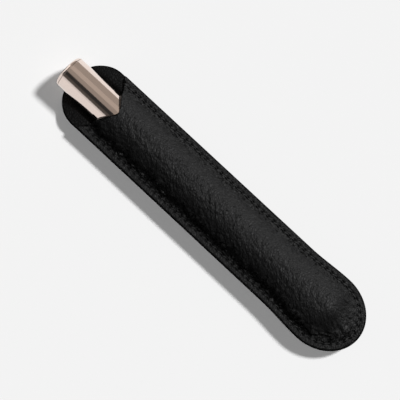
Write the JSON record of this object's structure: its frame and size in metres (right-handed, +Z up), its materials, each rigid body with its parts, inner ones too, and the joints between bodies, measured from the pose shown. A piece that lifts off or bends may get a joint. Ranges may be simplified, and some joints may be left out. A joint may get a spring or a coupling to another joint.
{
  "type": "fountain pen case",
  "caption": "Slim moulded leather sleeve for one pen, open at one end over a round back flap, with a capped metal fountain pen in it.",
  "frame": {"origin": "on the flat of the back panel's underside, under the middle of the sleeve's own length", "axes": "+X along the sleeve towards its mouth, the way the pen leaves; +Z up from the back through the moulded front; +Y across"},
  "size_m": [0.1522, 0.0298, 0.0175],
  "materials": {
    "grained_leather": "black, pebble grained, semi-matt",
    "lining_skin": "black, fine grained, matt",
    "edge_paint": "black edge paint, satin",
    "sewing_thread": "black waxed thread",
    "champagne_metal": "polished champagne plating on brass",
    "brass": "turned, bare",
    "steel": "polished",
    "black_resin": "moulded, glossy",
    "clear_resin": "clear, moulded",
    "rubber": "matt"
  },
  "bodies": {
    "sleeve": {"front_panel": "grained_leather", "front_lining": "lining_skin", "mouth_edge_coat": "edge_paint", "back_panel": "grained_leather", "back_lining": "lining_skin", "edge_coat": "edge_paint", "needle_thread": "sewing_thread", "bobbin_thread": "sewing_thread"},
    "barrel": {"barrel_end": "champagne_metal", "barrel_tube": "champagne_metal", "barrel_bush": "brass"},
    "front_half": {"grip_section": "black_resin", "feed": "black_resin", "nib": "steel", "converter_tube": "clear_resin", "converter_collar": "steel"},
    "cap": {"cap_crown": "champagne_metal", "cap_tube": "champagne_metal", "cap_lip_ring": "champagne_metal", "inner_cap": "black_resin"},
    "knob": {"converter_knob": "black_resin"},
    "piston": {"converter_piston": "black_resin", "piston_seal": "rubber"}
  },
  "joints": [
    {"name": "pen_out", "type": "slide", "parent": "sleeve", "child": "barrel", "axis": [1, 0, 0], "range_m": [0, 0.15]},
    {"name": "cap_off", "type": "slide", "parent": "front_half", "child": "cap", "axis": [1, 0, 0], "range_m": [0, 0.06]},
    {"name": "front_half_out", "type": "slide", "parent": "barrel", "child": "front_half", "axis": [1, 0, 0], "range_m": [0, 0.07]},
    {"name": "knob_turn", "type": "hinge", "parent": "front_half", "child": "knob", "pos_m": [-0.0423, 0, 0.00875], "axis": [-1, 0, 0], "range_deg": [0, 2160]},
    {"name": "piston_slide", "type": "slide", "parent": "front_half", "child": "piston", "axis": [1, 0, 0], "range_m": [0, 0.018]}
  ],
  "couplings": [
    {"joint": "knob_turn", "follows": "piston_slide", "rad_per_m": 2094.4}
  ]
}
